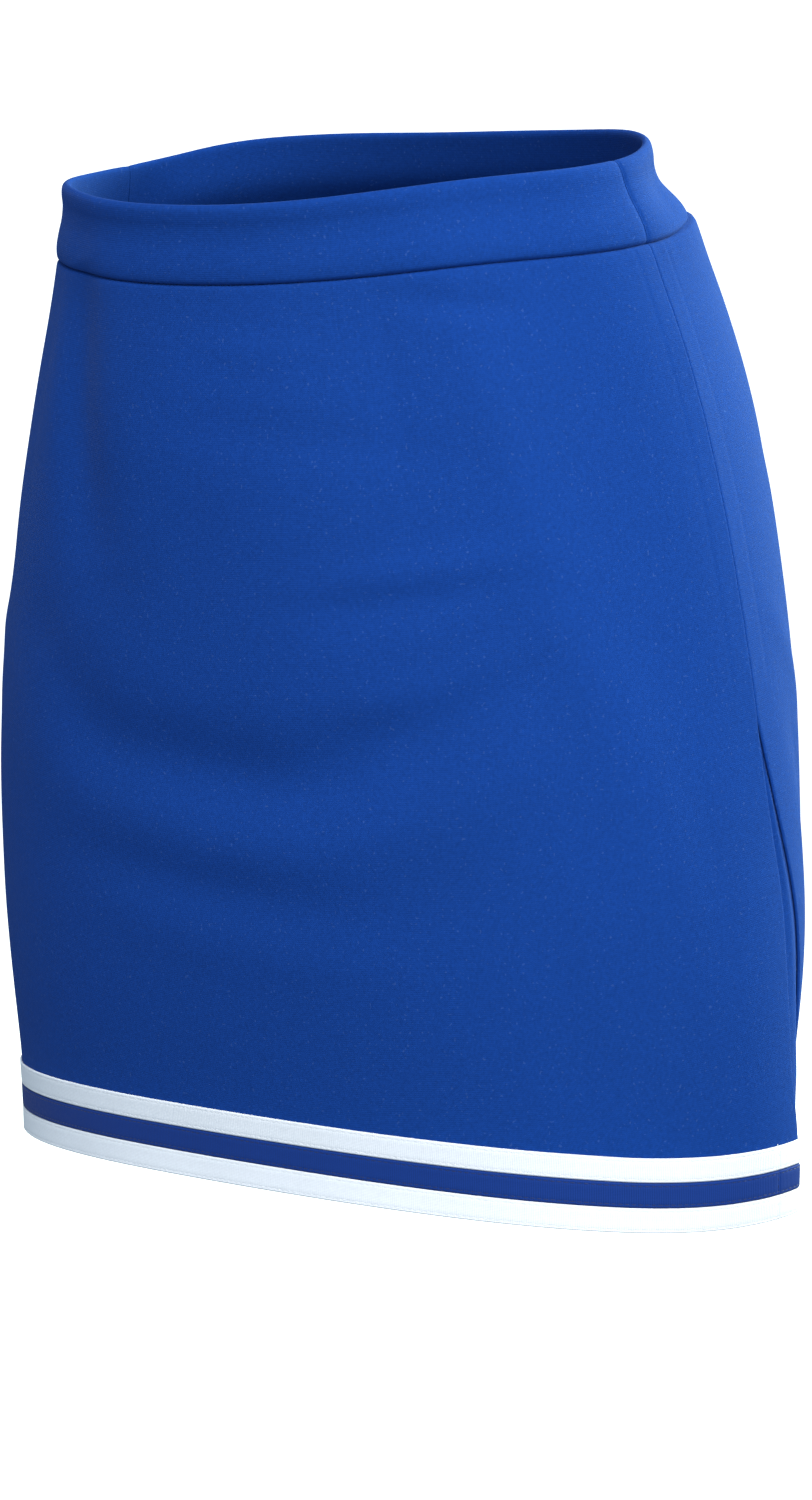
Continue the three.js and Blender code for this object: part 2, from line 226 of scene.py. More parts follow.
def fold_rise(share, turn):
    """How far the folds raise the cloth, each by the distance to its own curve."""
    here = np.stack([turn * MM_PER_TURN, share * SKIRT_LENGTH], -1)
    total = np.zeros(here.shape[:-1])
    for wide, rise, line in FOLDS:
        points = through(line) * [MM_PER_TURN, SKIRT_LENGTH]
        nearest = np.full(total.shape, 1e9)
        along = np.zeros(total.shape)
        for i, (a, b) in enumerate(zip(points, points[1:])):
            run = b - a
            t = np.clip(((here - a) @ run) / (run @ run), 0, 1)
            d = np.linalg.norm(here - a - t[..., None] * run, axis=-1)
            closer = d < nearest
            nearest = np.where(closer, d, nearest)
            along = np.where(closer, (i + t) / (len(points) - 1), along)
        total += rise * bell(nearest, wide) * np.sin(np.pi * np.clip(along, 0.03, 0.97)) ** 0.6
    return total


def unevenness(share, turn):
    """Slow waves too faint to be folds, which keep the cloth from looking machined."""
    u, v = turn * MM_PER_TURN, share * SKIRT_LENGTH
    slow = np.sin(u / 23 + v / 41 + 1.3) * np.sin(v / 29 - u / 67 + 0.4)
    quick = np.sin(u / 9.1 - v / 17 + 2.1) * np.sin(v / 12.3 + u / 31)
    return 0.16 * slow + 0.05 * quick


# %% [markdown]
# ## Seams and the kick pleat
#
# Both side seams are plain ones pressed open, so what shows is a fine groove where the two panels
# turn in. The iron has made their folds thin there, and above the pleat they just touch. On the
# wearer's left the seam stops halfway down. Below that the panels part, each with a turned edge, and
# a third piece behind them closes the gap. The edges could be painted on as dark lines, but a real
# turned edge catches light on its round and throws a shadow, so each panel is folded back on itself
# at both ends.

# %% Where the edges lie
PLEAT_TOP = 0.52  # the side seam is left open from this share of the length down
PLEAT_OPEN = 28  # width of the opening at the hem
FRONT_REACH, SETTLED = 4, 0.72  # the front edge settles this far behind the widest line, by this level
SEAM_DRAWN = 2.0  # the seam is drawn forward a little over the hip
CORNER_REACH, CORNER = 3, (0.84, 0.94)  # its corner swings this much further, between these levels
SEAM_MEET = -0.04  # half the gap above the pleat: just under nothing, so that the folds touch


def meet(share):
    """Half the gap between the two folds of the seam."""
    return mix(SEAM_MEET, SEAM_GAP / 2, smooth(share, PLEAT_TOP - 0.01, PLEAT_TOP + 0.01))


def front_edge(share):
    settled = FRONT_REACH * smooth(share, PLEAT_TOP, SETTLED)
    drawn = SEAM_DRAWN * smooth(share, 0.2, 0.42) * (1 - smooth(share, 0.6, 0.72))
    return settled - drawn + CORNER_REACH * smooth(share, *CORNER) - meet(share)


def back_edge(share):
    depth = np.maximum(0, (share - PLEAT_TOP) / (1 - PLEAT_TOP))
    return front_edge(share) + 2 * meet(share) + PLEAT_OPEN * depth


def from_front_edge(share, turn):
    return (turn_behind(share, front_edge(share)) - turn) * MM_PER_TURN


def from_back_edge(share, turn):
    return (turn - turn_behind(share, back_edge(share))) * MM_PER_TURN


def pleat_open(share):
    """0 where the seam is sewn and 1 where the pleat is open."""
    return smooth(share, PLEAT_TOP - 0.04, PLEAT_TOP)


levels = np.array([0.3, PLEAT_TOP, 0.8, 1.0])
print("gap of the pleat at", levels, "is", (back_edge(levels) - front_edge(levels)).round(1), "mm")

# %% [markdown]
# Near its seams the cloth does small things of its own. Turnings press through to the face, sewing
# puckers it, the corner of the pleat kicks out, and the back edge falls in behind the front one.
# Each could be sculpted, but a short rule for each one keeps them apart and easy to change. All of
# them are given by the distance from an edge, and a panel adds up the ones that it has.

# %% How far the cloth stands off the form
SEAM_TURNING, PLEAT_TURNING = 10, 34  # cloth turned in along the seams, and down the pleat
CORNER_KICK, CORNER_WIDE = 1.3, 22  # the corner flicks out, dying away over this distance
BACK_TUCK, BACK_TUCK_TOP, BACK_TUCK_WIDE = 9, 0.7, 52  # at the hem, from this level, over this distance
BACK_EASE, BACK_EASE_DEPTH = 1.2, 0.03  # fullness of the back where it is eased into the band
MM_PER_TURN_AT_BAND = 2.3


def at_back(turn):
    return smooth(turn, 90, 110) * smooth(270 - turn, 0, 20)


def pressed_through(distance, turning):
    """The turning inside is felt on the face as a low step where it ends."""
    step = 1 - smooth(distance, turning - 1.5, turning + 1.5)
    return 0.1 * step - 0.1 * bell(distance - turning - 1.2, 1.2)


def seam_pucker(distance, share):
    """Small puckers that cross a sewn seam."""
    v = share * SKIRT_LENGTH
    wave = np.sin(v / 1.75) * 0.6 + np.sin(v / 2.9 + 1) * 0.7 + np.sin(v / 5.3 + 2) * 0.5
    return 0.07 * wave * np.exp(-np.abs(distance) / 7)


def band_pucker(share, turn):
    """Small puckers where the panels are sewn to the stretched band."""
    u = turn * MM_PER_TURN_AT_BAND
    wave = np.sin(u / 1.9) * 0.5 + np.sin(u / 3.1 + 0.7) * 0.7 + np.sin(u / 6.7 + 2) * 0.8
    down = (share - BAND_SHARE) * SKIRT_LENGTH
    return 0.1 * wave * np.exp(-np.maximum(down, 0) / 7)


def seam_crest(distance, share):
    """The stiff turnings hold the cloth out along the seam, so its plane changes there."""
    crest = 1.1 * np.exp(-np.maximum(distance, 0) / 9)
    return crest * smooth(share, 0.1, 0.2) * (1 - smooth(share, 0.5, 0.7))


def beside_front_edge(distance, share):
    """The corner of the pleat kicks out, and the seam above it stands up."""
    kick = CORNER_KICK * smooth(share, *CORNER) * bell(distance, CORNER_WIDE)
    return kick + seam_crest(distance, share)


def beside_back_edge(distance, share):
    """The back edge falls in behind the front one, and the seam above it stands up."""
    tuck = -BACK_TUCK * smooth(share, BACK_TUCK_TOP, 1) * bell(distance, BACK_TUCK_WIDE)
    return tuck + seam_crest(distance, share)


def seam_marks(lift, left, right, share, turn):
    """What both panels have at their seams: turnings pressed through, and puckers."""
    open_ = pleat_open(share)
    lift = lift + pressed_through(left, mix(SEAM_TURNING, PLEAT_TURNING, open_))
    lift = lift + pressed_through(right, SEAM_TURNING)
    lift = lift + seam_pucker(left, share) * (1 - open_) + seam_pucker(right, share)
    return lift + band_pucker(share, turn)


def front_lift(share, turn):
    left = from_front_edge(share, turn)
    right = (turn + 90) * MM_PER_TURN
    lift = beside_front_edge(left, share) + seam_crest(right, share)
    return seam_marks(lift, left, right, share, turn)


def back_lift(share, turn):
    left = from_back_edge(share, turn)
    right = (270 - turn) * MM_PER_TURN
    lift = beside_back_edge(left, share) + seam_crest(right, share)
    lift = lift + BACK_EASE * at_back(turn) * bell(share - BAND_SHARE, BACK_EASE_DEPTH)
    return seam_marks(lift, left, right, share, turn)


def cloth_point(share, turn, lift):
    """A point of the outer face, with the directions round and out."""
    round_, out = form_frame(share, turn)
    rise = fold_rise(share, turn) + unevenness(share, turn) * smooth(share, BAND_SHARE, 0.16)
    return form_point(share, turn) + out * (rise + lift)[..., None], round_, out


# %% [markdown]
# ## Cloth walls
#
# Every flat piece is a grid of points on the outer face. The grid is closed into a thin wall, so the
# cloth has a real thickness at the hem and at each edge. Solidify could do that too, but a wall made
# point by point can be thinner where the iron has pressed it. Each piece gets a map in metres along
# and down the cloth, so the knit keeps its size and follows the grain wherever the piece bends.


# %% From a grid to a closed wall
def measured_map(face, centre):
    """Distance along and down the cloth at each point, in metres."""
    along = np.linalg.norm(np.diff(face, axis=1), axis=2).cumsum(1)
    down = np.linalg.norm(np.diff(face, axis=0), axis=2).cumsum(0)
    u = np.pad(along, ((0, 0), (1, 0)))
    v = np.pad(down, ((1, 0), (0, 0)))
    return np.stack([u - u[:, [centre]], -v], -1) * MM


def give_map(mesh, per_vertex):
    corner = np.zeros(len(mesh.loops), np.int32)
    mesh.loops.foreach_get("vertex_index", corner)
    layer = mesh.uv_layers.new(name="cloth")
    layer.data.foreach_set("uv", per_vertex[corner].astype(np.float32).ravel())


def new_piece(name, verts, faces, uv, material, soft_angle=50):
    """A mesh object from points in millimetres, smooth wherever it bends less than soft_angle."""
    mesh = bpy.data.meshes.new(name)
    mesh.from_pydata((verts * MM).tolist(), [], faces)
    mesh.update()
    give_map(mesh, uv)
    mesh.shade_smooth()
    mesh.set_sharp_from_angle(angle=math.radians(soft_angle))
    mesh.materials.append(material)
    piece = bpy.data.objects.new("sewn_" + name, mesh)
    bpy.context.scene.collection.objects.link(piece)
    return piece


def cloth_wall(name, face, out, thickness, centre, material):
    """Closes a grid of face points (rows down, columns round with the turn) into a wall."""
    rows, columns = face.shape[:2]
    count = rows * columns
    inner = face - out * np.broadcast_to(thickness, (rows, columns))[..., None]
    grid = np.arange(count).reshape(rows, columns)
    a, b, c, d = grid[:-1, :-1], grid[1:, :-1], grid[1:, 1:], grid[:-1, 1:]
    outside = np.stack([a, b, c, d], -1).reshape(-1, 4)
    inside = np.stack([a, d, c, b], -1).reshape(-1, 4) + count
    loop = np.concatenate([grid[:-1, 0], grid[-1, :-1], grid[:0:-1, -1], grid[0, :0:-1]])
    next_ = np.roll(loop, -1)
    rim = np.stack([next_, loop, loop + count, next_ + count], -1)
    uv = measured_map(face, centre).reshape(-1, 2)
    verts = np.concatenate([face.reshape(-1, 3), inner.reshape(-1, 3)])
    faces = np.concatenate([outside, inside, rim])
    piece = new_piece(name, verts, faces.tolist(), np.concatenate([uv, uv]), material)
    print(f"{name}: {rows} x {columns} points, {2 * len(faces)} triangles")
    return piece


def flat_size(face):
    """Width, length and area of a grid laid flat, in metres."""
    along = np.linalg.norm(np.diff(face, axis=1), axis=2)
    down = np.linalg.norm(np.diff(face, axis=0), axis=2)
    cells = (along[:-1] + along[1:]) / 2 * (down[:, :-1] + down[:, 1:]) / 2
    return float(along.sum(1).max() * MM), float(down.sum(0).max() * MM), float(cells.sum() * MM**2)


# %% [markdown]
# ## Finishes
#
# The cloth is a polyester double knit: matt, with a slight sheen where it turns away, and made of
# columns of tiny V-shaped loops. The loops could be real threads, but at under a millimetre each
# there would be millions. A bump built from two distances, along and down the cloth, gives the same
# play of light. Colour varies a little from loop to loop and more slowly over the piece, and a few
# loose fibre ends catch the light. Numbers that are the same all over go straight on the shader.

# %% Helpers for node trees
def node(tree, kind, values=(), **settings):
    made = tree.nodes.new(kind)
    for key, value in settings.items():
        setattr(made, key, value)
    for key, value in dict(values).items():
        if isinstance(value, bpy.types.NodeSocket):
            tree.links.new(value, made.inputs[key])
        else:
            made.inputs[key].default_value = value
    return made


def calc(tree, operation, a, b=0.0, c=0.0):
    return node(tree, "ShaderNodeMath", {0: a, 1: b, 2: c}, operation=operation).outputs[0]


def ranged(tree, value, low, high, to_low=0.0, to_high=1.0):
    values = {"Value": value, "From Min": low, "From Max": high, "To Min": to_low, "To Max": to_high}
    return node(tree, "ShaderNodeMapRange", values).outputs["Result"]


def blend_colour(tree, how, amount, a, b):
    made = node(tree, "ShaderNodeMix", data_type="RGBA", blend_type=how)
    for socket, value in zip([made.inputs[0], made.inputs[6], made.inputs[7]], [amount, a, b]):
        if isinstance(value, bpy.types.NodeSocket):
            tree.links.new(value, socket)
        else:
            socket.default_value = value
    return made.outputs[2]


def new_material(name, **constants):
    material = bpy.data.materials.new(name)
    material.use_nodes = True
    tree = material.node_tree
    shader = tree.nodes["Principled BSDF"]
    for key, value in constants.items():
        shader.inputs[key.replace("_", " ")].default_value = value
    return material, tree, shader


def cloth_places(tree):
    """Distances along and down the cloth, in metres, and the place in the room."""
    along = node(tree, "ShaderNodeUVMap", uv_map="cloth").outputs["UV"]
    parts = node(tree, "ShaderNodeSeparateXYZ", {"Vector": along})
    place = node(tree, "ShaderNodeTexCoord").outputs["Object"]
    return parts.outputs["X"], parts.outputs["Y"], place


def speckle(tree, place, size, detail=2.0, roughness=0.5):
    values = {"Vector": place, "Scale": 1 / size, "Detail": detail, "Roughness": roughness}
    return node(tree, "ShaderNodeTexNoise", values).outputs["Fac"]


def ramp_grey(tree, value, low, high):
    """A grey from low to high over the middle of a noise."""
    level = ranged(tree, value, 0.25, 0.75, low, high)
    return node(tree, "ShaderNodeCombineColor", {"Red": level, "Green": level, "Blue": level}).outputs[0]


def roughen(tree, shader, strength, distance, height):
    """A bump on the shader, from a height between 0 and about 1."""
    bump = node(tree, "ShaderNodeBump", {"Strength": strength, "Distance": distance, "Height": height})
    tree.links.new(bump.outputs["Normal"], shader.inputs["Normal"])


# %% The knit cloth
WALE, COURSE = 0.0010, 0.0008  # width of a column of loops and height of a row, in metres
CLOTH_BLUE = (0.0070, 0.0455, 0.258, 1)
# A lighter and a darker blue, which paint light on the loop tops and shade in the gaps between loops.
CLOTH_LOOP_LIT = (0.0112, 0.0625, 0.325, 1)
CLOTH_LOOP_SHADE = (0.0047, 0.0315, 0.184, 1)


def knit_loops(tree, u, v):
    """Height of a face of V-shaped loops, from 0 to 1."""
    across = calc(tree, "FRACT", calc(tree, "DIVIDE", u, WALE))
    lean = calc(tree, "ABSOLUTE", calc(tree, "SUBTRACT", across, 0.5))
    legs = calc(tree, "ABSOLUTE", calc(tree, "SINE", calc(tree, "MULTIPLY", across, 2 * math.pi)))
    row = calc(tree, "ADD", calc(tree, "DIVIDE", v, COURSE), calc(tree, "MULTIPLY", lean, 1.1))
    wave = calc(tree, "SINE", calc(tree, "MULTIPLY", row, 2 * math.pi))
    return calc(tree, "MULTIPLY", legs, ranged(tree, wave, -1, 1, 0.25, 1.0))


def make_knit():
    material, tree, shader = new_material(
        "double_knit_blue",
        Sheen_Weight=0.05,
        Sheen_Roughness=0.35,
        Sheen_Tint=(0.5, 0.68, 1.0, 1),
        Specular_IOR_Level=0.03,
        IOR=1.4,
    )
    u, v, place = cloth_places(tree)
    loops = knit_loops(tree, u, v)
    slow = speckle(tree, place, 0.06, 3)
    fibre = speckle(tree, place, 0.0014, 2, 0.7)
    fibre_glint = ranged(tree, speckle(tree, place, 0.0011, 0), 0.74, 0.82)
    # Painted light and shade: the loop tops are coloured lighter and the gaps between the loops darker.
    tone = blend_colour(tree, "MIX", ranged(tree, loops, 0.0, 0.9, 0.15, 0.62), CLOTH_LOOP_SHADE, CLOTH_LOOP_LIT)
    tone = blend_colour(tree, "MIX", ranged(tree, slow, 0.35, 0.65, 0.25, 0.65), tone, CLOTH_BLUE)
    tone = blend_colour(tree, "MULTIPLY", 0.5, tone, ramp_grey(tree, fibre, 0.72, 1.3))
    # Painted highlight: a few tiny specks are coloured paler where loose fibre ends catch the light.
    tone = blend_colour(tree, "MIX", calc(tree, "MULTIPLY", fibre_glint, 0.06), tone, (0.25, 0.42, 0.8, 1))
    tree.links.new(tone, shader.inputs["Base Color"])
    tree.links.new(ranged(tree, fibre, 0.3, 0.7, 0.84, 0.98), shader.inputs["Roughness"])
    fuzz = calc(tree, "MULTIPLY", fibre, 0.5)
    roughen(tree, shader, 0.45, 0.0002, calc(tree, "ADD", loops, fuzz))
    return material


knit = make_knit()
print("knit:", len(knit.node_tree.nodes), "nodes, loops of", WALE * 1000, "by", COURSE * 1000, "mm")

# %% [markdown]
# The braid is a bought tape, knitted across its width, so it has fine ribs that run up and down and
# a flatter, crisper face than the cloth. White and blue rows are the same tape in two colours, so one
# recipe makes both. A plain colour would be enough from far off, but the ribs break up the light.

# %% The braid
RIB, ROW = 0.0009, 0.0006  # width of a rib and height of a row, in metres


def make_braid(name, light, dark, sheen):
    material, tree, shader = new_material(
        name,
        Sheen_Weight=sheen,
        Sheen_Roughness=0.5,
        Specular_IOR_Level=0.1,
        IOR=1.45,
    )
    u, v, place = cloth_places(tree)
    rib = calc(tree, "ABSOLUTE", calc(tree, "SINE", calc(tree, "MULTIPLY", u, math.pi / RIB)))
    row = calc(tree, "SINE", calc(tree, "MULTIPLY", v, 2 * math.pi / ROW))
    height = calc(tree, "ADD", rib, calc(tree, "MULTIPLY", row, 0.22))
    fibre = speckle(tree, place, 0.0012, 2, 0.7)
    slow = speckle(tree, place, 0.045, 3)
    # Painted light and shade: the rib tops are coloured lighter and the grooves between the ribs darker.
    tone = blend_colour(tree, "MIX", ranged(tree, rib, 0.0, 0.6, 0.3, 1.0), dark, light)
    tone = blend_colour(tree, "MULTIPLY", 0.4, tone, ramp_grey(tree, fibre, 0.86, 1.08))
    tone = blend_colour(tree, "MULTIPLY", 0.5, tone, ramp_grey(tree, slow, 0.93, 1.04))
    tree.links.new(tone, shader.inputs["Base Color"])
    tree.links.new(ranged(tree, fibre, 0.3, 0.7, 0.55, 0.75), shader.inputs["Roughness"])
    roughen(tree, shader, 0.28, 0.0002, height)
    return material


# Each tape gets a colour for its rib tops and a darker one that paints shade in its grooves.
white_braid = make_braid("braid_white_tape", (0.77, 0.81, 0.90, 1), (0.71, 0.755, 0.86, 1), 0.04)
blue_braid = make_braid("braid_blue_tape", (0.0075, 0.037, 0.22, 1), (0.0045, 0.021, 0.13, 1), 0.02)
print("braid: ribs of", RIB * 1000, "mm, finishes", white_braid.name, "and", blue_braid.name)

# %% [markdown]
# The sewing thread is spun from thin plies, which slant across it and catch the light one by one. A
# stitch is only 2 mm long, so modelled plies would be lost. A fine wave through the thread is enough.

# %% The sewing thread
def make_thread(name, light, dark):
    """Twisted polyester: narrow plies, a little glossier than the cloth."""
    material, tree, shader = new_material(name, Specular_IOR_Level=0.35, IOR=1.5, Sheen_Weight=0.1)
    place = node(tree, "ShaderNodeTexCoord").outputs["Object"]
    wave = node(tree, "ShaderNodeTexWave", {"Vector": place, "Scale": 900.0, "Distortion": 1.5})
    plies = wave.outputs["Fac"]
    # Painted light and shade: the wave colours each ply lighter where it catches the light and darker
    # between plies.
    tree.links.new(blend_colour(tree, "MIX", plies, dark, light), shader.inputs["Base Color"])
    tree.links.new(ranged(tree, plies, 0, 1, 0.6, 0.45), shader.inputs["Roughness"])
    roughen(tree, shader, 0.3, 0.0001, plies)
    return material


# Each thread has a lit colour and a shaded colour for its plies.
thread_white = make_thread("thread_white", (0.80, 0.83, 0.88, 1), (0.60, 0.64, 0.72, 1))
thread_blue = make_thread("thread_blue", (0.006, 0.022, 0.13, 1), (0.003, 0.012, 0.07, 1))

# %% [markdown]
# ## The two panels
#
# The front and the back are each one shaped piece, with no darts. A panel's grid runs from fold to
# fold across its face and then carries on round each folded edge and along the turning inside. Rows
# of points are closer together where the shape changes quickly: at the waist seam, near the edges
# and at the hem. At the top the cloth rolls in under the band and its seam allowance stands up
# behind it, so no light comes through the seam.

# %% Rows and columns of a panel
BRAID_ROW_HEIGHT = 10
BRAID_TOTAL = 3 * BRAID_ROW_HEIGHT
BRAID_OVERHANG = 0.5
ROLL_IN = [  # height above the waist seam, and depth behind the face
    (7, 3.7), (3, 3.7), (1, 3.6), (0.3, 2.9), (-0.1, 1.7), (-0.5, 0.7), (-1.1, 0.2), (-2, 0),
]
BODY_ROWS = 112
HEM_ROWS = 12
EDGE_BAND, HALF_GIRTH = 26, 472  # columns are 1 mm apart in this band beside each edge
MIDDLE_COLUMNS = 150
roll_heights = np.array([h for h, _ in ROLL_IN], float)
roll_depths = np.array([d for _, d in ROLL_IN], float)


def panel_rows():
    """Share of each row of a panel as a function of turn, with its depth behind the face."""
    top = BAND_SHARE + (SEAM_GAP - roll_heights) / SKIRT_LENGTH
    body = np.linspace(0, 1, BODY_ROWS + 1)[1:]
    hem = BRAID_TOTAL * (1 - np.linspace(0, 1, HEM_ROWS + 1)[1:])
    fixed = np.concatenate([top, top[-1] * (1 - body), 0 * hem])[:, None]
    follow = np.concatenate([0 * top, body, 1 + 0 * hem])[:, None]
    height = [0 * top + BRAID_TOTAL, 0 * body + BRAID_TOTAL, np.maximum(hem, BRAID_OVERHANG)]
    height = np.concatenate(height)
    depth = np.concatenate([roll_depths, 0 * body, 0 * hem])[:, None]
    return lambda turn: fixed + follow * above_hem(height[:, None], turn), depth


def strip_rows(heights):
    """The same for a strip whose rows lie at given heights above the hem."""
    heights = np.asarray(heights, float)[:, None]
    return lambda turn: above_hem(heights, turn)


def panel_columns():
    """Places across a panel from 0 to 1, close together near its edges."""
    near = np.arange(0, EDGE_BAND, 1.0)
    middle = np.linspace(EDGE_BAND, HALF_GIRTH - EDGE_BAND, MIDDLE_COLUMNS)
    return np.concatenate([near, middle, HALF_GIRTH - near[::-1]]) / HALF_GIRTH


print("a panel has", len(roll_heights) + BODY_ROWS + HEM_ROWS, "rows and", len(panel_columns()), "columns")

# %% The two ends of each panel
# Each end says where its edge lies behind the widest line, what turn such a point has, which way is
# inward, which way lies beyond the fold, and whether the pleat opens it.
ENDS = {
    "front": [
        dict(
            edge=lambda share: 0 * share - SEAM_MEET,
            place=lambda share, behind: -turn_behind(share, behind),
            inward=-1,
            way=-1,
            opens=0,
        ),
        dict(edge=front_edge, place=turn_behind, inward=-1, way=1, opens=1),
    ],
    "back": [
        dict(edge=back_edge, place=turn_behind, inward=1, way=-1, opens=1),
        dict(
            edge=lambda share: 0 * share + SEAM_MEET,
            place=lambda share, behind: 360 - turn_behind(share, behind),
            inward=1,
            way=1,
            opens=0,
        ),
    ],
}
LIFTS = {"front": front_lift, "back": back_lift}
SEAM_RADIUS, PLEAT_RADIUS = 0.6, 0.65  # of the outside of a fold
SEAM_PRESSED, PLEAT_PRESSED = 0.55, 0.6  # thickness of the cloth that the iron has pressed


def settled_end(end, share_of):
    """The same end, with where its fold lies on each row and how round it is."""
    share = share_of(np.full((1, 1), 90.0))
    edge = end["edge"](share)
    slope = np.abs(form_frame(share, end["place"](share, edge))[0][..., 1])
    open_ = pleat_open(share) * end["opens"]
    radius = mix(SEAM_RADIUS, PLEAT_RADIUS, open_)
    fold = edge + end["inward"] * radius * slope
    return dict(end, share=share, slope=slope, open=open_, radius=radius, fold=fold)


# %% Across the face, round the folds and along the turnings
EDGE_ROUND = np.radians([30, 60, 90, 120, 150])
TURNING_COLUMNS = 5
ROLLED_IN = 0.2  # rows deeper than this behind the face are pressed thin
FAR_AWAY = 1e3  # stands for the distance from the other fold, which a turning never nears


def beyond_fold(end, share_of, lift, depth, edge, limit, turned):
    """Columns round the folded edge and along the turning inside, both ways about."""
    point, round_, out, thick = edge
    radius = end["radius"]
    columns = []
    for angle in EDGE_ROUND[EDGE_ROUND <= math.radians(limit)]:
        new_out = out * math.cos(angle) + round_ * end["way"] * math.sin(angle)
        columns.append((point - out * radius + new_out * radius, new_out, thick))
    if turned:
        turning = mix(SEAM_TURNING, PLEAT_TURNING, end["open"])
        for step in np.arange(TURNING_COLUMNS + 1) / TURNING_COLUMNS:
            turn = end["place"](end["share"], end["fold"] + end["inward"] * end["slope"] * turning * step)
            at = share_of(turn)
            inside, _, away = cloth_point(at, turn, lift(at, turn) - depth - 2 * radius)
            columns.append((inside[:, 0], -away[:, 0], thick))
    points, outs, thicks = [np.stack(parts, 1) for parts in zip(*columns)]
    steps = np.diff(np.concatenate([point[:, None], points], 1), axis=1)
    beyond = -np.linalg.norm(steps, axis=2).cumsum(1)
    far = np.full(beyond.shape, FAR_AWAY)
    ahead = (points, outs, thicks, far, beyond)
    behind = tuple(part[:, ::-1] for part in (points, outs, thicks, beyond, far))
    return ahead, behind


def panel_grid(side, share_of, depth, round_to=(180, 180), turned=True):
    """Face points, directions out, wall thickness and distance from each fold, for a strip of a panel.
    round_to is how far it goes round the folds, in degrees."""
    lift = LIFTS[side]
    ends = [settled_end(end, share_of) for end in ENDS[side]]
    first, last = [end["place"](end["share"], end["fold"]) for end in ends]
    turn = mix(first, last, panel_columns()[None, :])
    share = share_of(turn)
    points, round_, out = cloth_point(share, turn, lift(share, turn) - depth)
    steps = np.linalg.norm(np.diff(points, axis=1), axis=2).cumsum(1)
    from_first = np.pad(steps, ((0, 0), (1, 0)))
    from_last = from_first[:, -1:] - from_first
    thick = np.full(share.shape, CLOTH)
    for end, distance in zip(ends, (from_first, from_last)):
        pressed = mix(SEAM_PRESSED, PLEAT_PRESSED, end["open"])
        thick = np.minimum(thick, mix(pressed, CLOTH, smooth(distance, SEAM_TURNING, SEAM_TURNING + 6)))
    thick = np.where(depth > ROLLED_IN, SEAM_PRESSED, thick)
    grids = [(points, out, thick, from_first, from_last)]
    for end, limit, k in zip(ends, round_to, (0, -1)):
        edge = [grid[:, k] for grid in (points, round_, out, thick)]
        ahead, behind = beyond_fold(end, share_of, lift, depth, edge, limit, turned)
        grids = [behind, *grids] if k == 0 else [*grids, ahead]
    return [np.concatenate(parts, 1) for parts in zip(*grids)]


# %% Make the panels
panels, cuts = {}, {}
for side in ("front", "back"):
    share_of, depth = panel_rows()
    points, out, thick, near, far = panel_grid(side, share_of, depth)
    panels[side] = cloth_wall(f"{side}_panel", points, out, thick, points.shape[1] // 2, knit)
    cuts[side] = flat_size(points)
    print(side, "cut (m, m, m2):", [round(x, 4) for x in cuts[side]])

# %% [markdown]
# ## The underlay of the pleat
#
# Behind the open edges lies a narrow piece of the same cloth. It is caught in the side seam at its
# top and runs a little way behind both edges, so the gap never shows the inside. It could be a flat
# strip, but it has to follow both panels, so its depth blends from one edge's fold to the other's,
# and it fills out a little between them. Behind the braid it lies deeper, to leave room for the tape.

# %% The underlay
UNDERLAY_LAP, UNDERLAY_TOP = 16, 0.5
UNDERLAY_COLUMNS = 44
UNDERLAY_ROWS, UNDERLAY_HEM_ROWS = 60, 11
BRAID_THICK = 0.8
UNDERLAY_SET = 2 * PLEAT_RADIUS + 0.25  # it lies close behind the turned edges
UNDERLAY_SWELL = 1.4  # it fills out between the two edges


def underlay_grid(share):
    share = np.asarray(share, float)[:, None]
    across = np.linspace(0, 1, UNDERLAY_COLUMNS)[None, :]
    behind = mix(front_edge(share) - UNDERLAY_LAP, back_edge(share) + UNDERLAY_LAP, across)
    share = np.broadcast_to(share, behind.shape)
    turn = turn_behind(share, behind)
    toward_back = smooth(behind, front_edge(share), back_edge(share))
    beside_front = beside_front_edge(from_front_edge(share, turn), share)
    beside_back = beside_back_edge(from_back_edge(share, turn), share)
    lift = mix(beside_front, beside_back, toward_back)
    gap = np.maximum(back_edge(share) - front_edge(share), 0.1)
    middle = bell((behind - (front_edge(share) + back_edge(share)) / 2) / gap, 0.36)
    lift = lift + UNDERLAY_SWELL * smooth(gap, 1, 5) * middle
    for_braid = (BRAID_THICK + 0.5) * smooth(share, 0.86, 0.91)
    points, _, out = cloth_point(share, turn, lift - UNDERLAY_SET - for_braid)
    return points, out


braid_top = float(above_hem(BRAID_TOTAL, 90.0))
underlay_hem = float(above_hem(BRAID_OVERHANG, 90.0))
underlay_shares = np.concatenate([
    np.linspace(UNDERLAY_TOP, braid_top, UNDERLAY_ROWS),
    np.linspace(braid_top, underlay_hem, UNDERLAY_HEM_ROWS)[1:],
])
points, out = underlay_grid(underlay_shares)
underlay = cloth_wall("pleat_underlay", points, out, CLOTH, UNDERLAY_COLUMNS // 2, knit)
cuts["underlay"] = flat_size(points)
print("underlay cut (m, m, m2):", [round(x, 4) for x in cuts["underlay"]])

# %% [markdown]
# ## Hem braid
#
# Three rows of tape are sewn edge to edge: white, blue, white, the last one covering the cut edge of
# the cloth. A texture of stripes would be quicker, but real tape has thickness: it stands off the
# cloth, its edges round over, the row of stitches near each edge draws it in, and a dark line shows
# where two rows meet. Each strip is therefore taken from the panel's own points and lifted off them.
# At the pleat it goes round the folded edge, and a line of stitches crosses it where it is caught down.

